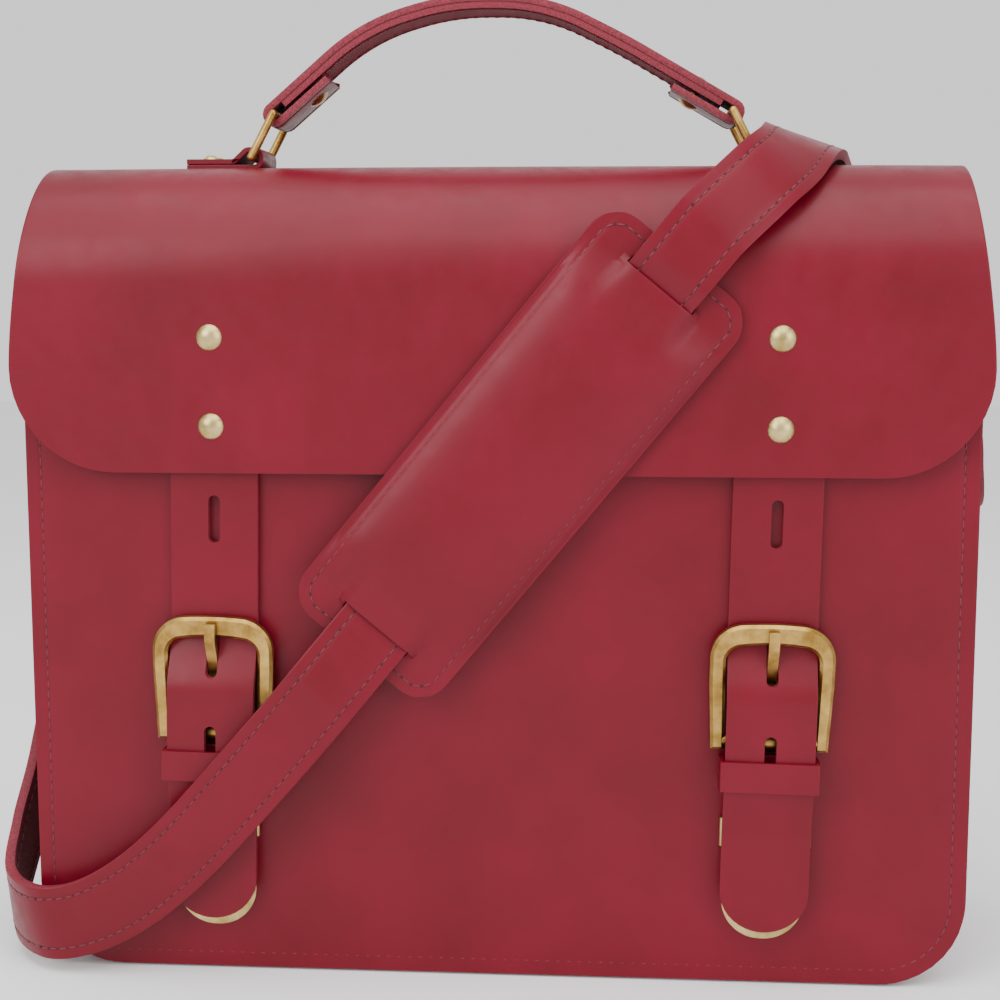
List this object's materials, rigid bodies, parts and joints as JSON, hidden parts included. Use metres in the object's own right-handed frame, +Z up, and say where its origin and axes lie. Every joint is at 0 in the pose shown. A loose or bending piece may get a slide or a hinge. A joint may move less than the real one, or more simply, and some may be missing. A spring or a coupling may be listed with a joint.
{
  "type": "satchel bag",
  "caption": "Structured leather satchel with fold-over flap, two buckled closure straps over hidden clasps, arched top handle and shoulder strap with sliding pad.",
  "frame": {"origin": "middle of the flat bottom of the gusset, on the surface the bag stands on", "axes": "+Z up, -Y to the front with the flap and buckles, +X to the right seen from the front"},
  "size_m": [0.3797, 0.1439, 0.3649],
  "materials": {
    "red_leather": "semi-gloss",
    "pad_leather": "semi-gloss",
    "aged_brass": "aged",
    "pale_brass": "satin"
  },
  "bodies": {
    "bag": {"front_panel": "red_leather", "back_panel": "red_leather", "gusset": "red_leather", "clasp_base_left": "pale_brass", "clasp_base_right": "pale_brass", "clasp_base_rivets": "pale_brass", "clasp_stud_left": "pale_brass", "clasp_stud_right": "pale_brass", "side_tab_left": "red_leather", "side_tab_right": "red_leather", "side_tab_rivets_left": "pale_brass", "side_tab_rivets_right": "pale_brass", "shoulder_strap_left": "red_leather", "shoulder_strap_right": "red_leather"},
    "flap": {"flap": "red_leather", "closure_rivets": "pale_brass", "closure_anchor_left": "red_leather", "closure_anchor_right": "red_leather", "handle_tab_left": "red_leather", "handle_tab_right": "red_leather", "handle_tab_rivets": "pale_brass", "shoulder_strap_front": "red_leather"},
    "handle_ring_left": {"handle_ring_left": "aged_brass"},
    "handle": {"handle_top": "red_leather", "handle_lining": "red_leather", "handle_rivets": "pale_brass"},
    "handle_ring_right": {"handle_ring_right": "aged_brass"},
    "shoulder_pad": {"shoulder_pad": "pad_leather"},
    "closure_left": {"closure_strap_left": "red_leather", "chape_left": "red_leather", "chape_rivets_left": "aged_brass", "keeper_left": "red_leather", "clasp_catch_left": "pale_brass"},
    "buckle_left": {"buckle_left": "aged_brass"},
    "tongue_left": {"tongue_left": "aged_brass"},
    "side_ring_left": {"side_ring_left": "aged_brass", "strap_end_left": "red_leather"},
    "closure_right": {"closure_strap_right": "red_leather", "chape_right": "red_leather", "chape_rivets_right": "aged_brass", "keeper_right": "red_leather", "clasp_catch_right": "pale_brass"},
    "buckle_right": {"buckle_right": "aged_brass"},
    "tongue_right": {"tongue_right": "aged_brass"},
    "side_ring_right": {"side_ring_right": "aged_brass", "strap_end_right": "red_leather"}
  },
  "joints": [
    {"name": "flap_hinge", "type": "hinge", "parent": "bag", "child": "flap", "pos_m": [0, 0.0505, 0.284], "axis": [-1, 0, 0], "range_deg": [0, 120], "deforming": ["shoulder_strap_left", "shoulder_strap_right"]},
    {"name": "closure_left_swing", "type": "hinge", "parent": "flap", "child": "closure_left", "pos_m": [-0.102, -0.05365, 0.1885], "axis": [-0.9998, 0, 0.0175], "range_deg": [0, 85]},
    {"name": "buckle_left_tilt", "type": "hinge", "parent": "closure_left", "child": "buckle_left", "pos_m": [-0.10369, -0.0542, 0.09341], "axis": [0.9998, 0, -0.0175], "range_deg": [0, 2.5]},
    {"name": "tongue_left_lift", "type": "hinge", "parent": "buckle_left", "child": "tongue_left", "pos_m": [-0.10369, -0.0542, 0.09341], "axis": [0.9998, 0, -0.0175], "range_deg": [0, 1]},
    {"name": "closure_right_swing", "type": "hinge", "parent": "flap", "child": "closure_right", "pos_m": [0.102, -0.05365, 0.1885], "axis": [-0.9998, 0, 0.0175], "range_deg": [0, 85]},
    {"name": "buckle_right_tilt", "type": "hinge", "parent": "closure_right", "child": "buckle_right", "pos_m": [0.10031, -0.0542, 0.09341], "axis": [0.9998, 0, -0.0175], "range_deg": [0, 2.5]},
    {"name": "tongue_right_lift", "type": "hinge", "parent": "buckle_right", "child": "tongue_right", "pos_m": [0.10031, -0.0542, 0.09341], "axis": [0.9998, 0, -0.0175], "range_deg": [0, 1]},
    {"name": "handle_ring_left_tilt", "type": "hinge", "parent": "flap", "child": "handle_ring_left", "pos_m": [-0.0945, 0, 0.3056], "axis": [0, 1, 0], "range_deg": [-9, 9]},
    {"name": "handle_tilt", "type": "hinge", "parent": "handle_ring_left", "child": "handle", "pos_m": [-0.086, 0, 0.3216], "axis": [0, 1, 0], "range_deg": [-10.5, 10.5]},
    {"name": "handle_ring_right_tilt", "type": "hinge", "parent": "flap", "child": "handle_ring_right", "pos_m": [0.0945, 0, 0.3056], "axis": [0, 1, 0], "range_deg": [-9.5, 9.5]},
    {"name": "shoulder_pad_slide", "type": "slide", "parent": "flap", "child": "shoulder_pad", "axis": [0.6361, 0, 0.7716], "range_m": [-0.01, 0.01], "deforming": ["shoulder_strap_front"]},
    {"name": "side_ring_left_swing", "type": "hinge", "parent": "bag", "child": "side_ring_left", "pos_m": [-0.1692, 0, 0.262], "axis": [0, 1, 0], "range_deg": [0, 35]},
    {"name": "side_ring_right_swing", "type": "hinge", "parent": "bag", "child": "side_ring_right", "pos_m": [0.1692, 0, 0.262], "axis": [0, -1, 0], "range_deg": [0, 35]}
  ],
  "couplings": [
    {"joint": "handle_tilt", "follows": "handle_ring_left_tilt", "ratio": -1.0988},
    {"joint": "handle_ring_right_tilt", "follows": "handle_ring_left_tilt", "ratio": 1}
  ]
}
